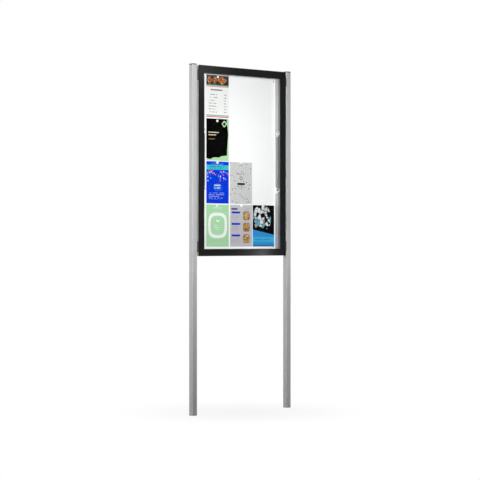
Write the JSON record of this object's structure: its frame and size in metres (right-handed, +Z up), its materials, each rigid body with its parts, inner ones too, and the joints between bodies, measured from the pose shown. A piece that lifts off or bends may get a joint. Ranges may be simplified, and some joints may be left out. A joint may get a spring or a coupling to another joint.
{
  "type": "lockable notice board",
  "caption": "Outdoor notice board on two square posts: shallow glazed display case with a lockable, top-hinged door on gas struts.",
  "frame": {"origin": "bottom centre of the bounding box: level with the posts' lower ends, midway between the posts and between the front and the back", "axes": "+Z up along the posts, -Y towards the viewer in front of the door, +X to the viewer's right"},
  "size_m": [0.937, 0.064, 2.45],
  "materials": {
    "silver_profile": "satin, natural anodised",
    "grey_profile": "satin, grey anodised",
    "black_profile": "satin black coating",
    "rear_aluminium": "mill finish",
    "white_panel": "smooth white paint",
    "black_steel": "satin black paint",
    "grey_steel": "satin grey paint",
    "bright_steel": "bright zinc plated",
    "dark_plastic": "matt moulded plastic",
    "white_plastic": "semi-gloss",
    "black_rubber": "matt",
    "pane_glass": "clear, polished",
    "printed_paper": "printed paper"
  },
  "bodies": {
    "case_and_posts": {"post_left": "silver_profile", "post_right": "silver_profile", "post_cap_left": "dark_plastic", "post_cap_right": "dark_plastic", "side_bracket_upper_left": "dark_plastic", "side_bracket_lower_left": "dark_plastic", "side_bracket_upper_right": "dark_plastic", "side_bracket_lower_right": "dark_plastic", "bracket_bolt_upper_left": "bright_steel", "bracket_bolt_lower_left": "bright_steel", "bracket_bolt_upper_right": "bright_steel", "bracket_bolt_lower_right": "bright_steel", "case_profile_top": "silver_profile", "case_profile_bottom": "silver_profile", "case_profile_left": "silver_profile", "case_profile_right": "silver_profile", "back_panel": "white_panel", "rear_sheet": "rear_aluminium", "notice_sheet_1": "printed_paper", "notice_sheet_2": "printed_paper", "notice_sheet_3": "printed_paper", "notice_sheet_4": "printed_paper", "notice_sheet_5": "printed_paper", "notice_sheet_6": "printed_paper", "notice_sheet_7": "printed_paper", "sheet_magnet_1": "white_plastic", "sheet_magnet_2": "white_plastic", "sheet_magnet_3": "white_plastic", "sheet_magnet_4": "white_plastic", "sheet_magnet_5": "white_plastic", "sheet_magnet_6": "white_plastic", "sheet_magnet_7": "white_plastic", "door_seal": "black_rubber", "hinge_leaf_case": "black_steel", "hinge_pin": "bright_steel", "strut_bracket_case_left": "bright_steel", "strut_bracket_case_right": "bright_steel", "lock_housing_left": "bright_steel", "lock_housing_right": "bright_steel"},
    "door": {"door_cover_top": "black_profile", "door_cover_bottom": "black_profile", "door_cover_left": "black_profile", "door_cover_right": "black_profile", "door_profile_top": "grey_profile", "door_profile_bottom": "grey_profile", "door_profile_left": "grey_profile", "door_profile_right": "grey_profile", "glass_pane": "pane_glass", "glazing_gasket": "black_rubber", "hinge_leaf_door": "black_steel", "strut_bracket_door_left": "bright_steel", "strut_bracket_door_right": "bright_steel"},
    "left_strut_tube": {"strut_tube_left": "grey_steel"},
    "left_strut_rod": {"strut_rod_left": "bright_steel"},
    "right_strut_tube": {"strut_tube_right": "grey_steel"},
    "right_strut_rod": {"strut_rod_right": "bright_steel"},
    "left_lock": {"lock_plug_left": "bright_steel", "lock_cam_left": "bright_steel"},
    "right_lock": {"lock_plug_right": "bright_steel", "lock_cam_right": "bright_steel"}
  },
  "joints": [
    {"name": "door_lift", "type": "hinge", "parent": "case_and_posts", "child": "door", "pos_m": [0, -0.0264, 2.4405], "axis": [-1, 0, 0], "range_deg": [0, 50]},
    {"name": "left_strut_tilt", "type": "hinge", "parent": "case_and_posts", "child": "left_strut_tube", "pos_m": [-0.352, -0.012, 1.583], "axis": [1, 0, 0], "range_deg": [0, 31.7]},
    {"name": "left_strut_slide", "type": "slide", "parent": "left_strut_tube", "child": "left_strut_rod", "axis": [0, 0, 1], "range_m": [0, 0.241]},
    {"name": "right_strut_tilt", "type": "hinge", "parent": "case_and_posts", "child": "right_strut_tube", "pos_m": [0.352, -0.012, 1.583], "axis": [1, 0, 0], "range_deg": [0, 31.7]},
    {"name": "right_strut_slide", "type": "slide", "parent": "right_strut_tube", "child": "right_strut_rod", "axis": [0, 0, 1], "range_m": [0, 0.241]},
    {"name": "left_lock_turn", "type": "hinge", "parent": "case_and_posts", "child": "left_lock", "pos_m": [-0.23, 0.0085, 1.1105], "axis": [0, 0, 1], "range_deg": [0, 90]},
    {"name": "right_lock_turn", "type": "hinge", "parent": "case_and_posts", "child": "right_lock", "pos_m": [0.23, 0.0085, 1.1105], "axis": [0, 0, 1], "range_deg": [0, 90]}
  ],
  "couplings": [
    {"joint": "left_strut_tilt", "follows": "door_lift", "ratio": 0.6314},
    {"joint": "left_strut_slide", "follows": "door_lift", "m_per_rad": 0.2749},
    {"joint": "right_strut_tilt", "follows": "door_lift", "ratio": 0.6314},
    {"joint": "right_strut_slide", "follows": "door_lift", "m_per_rad": 0.2749}
  ]
}
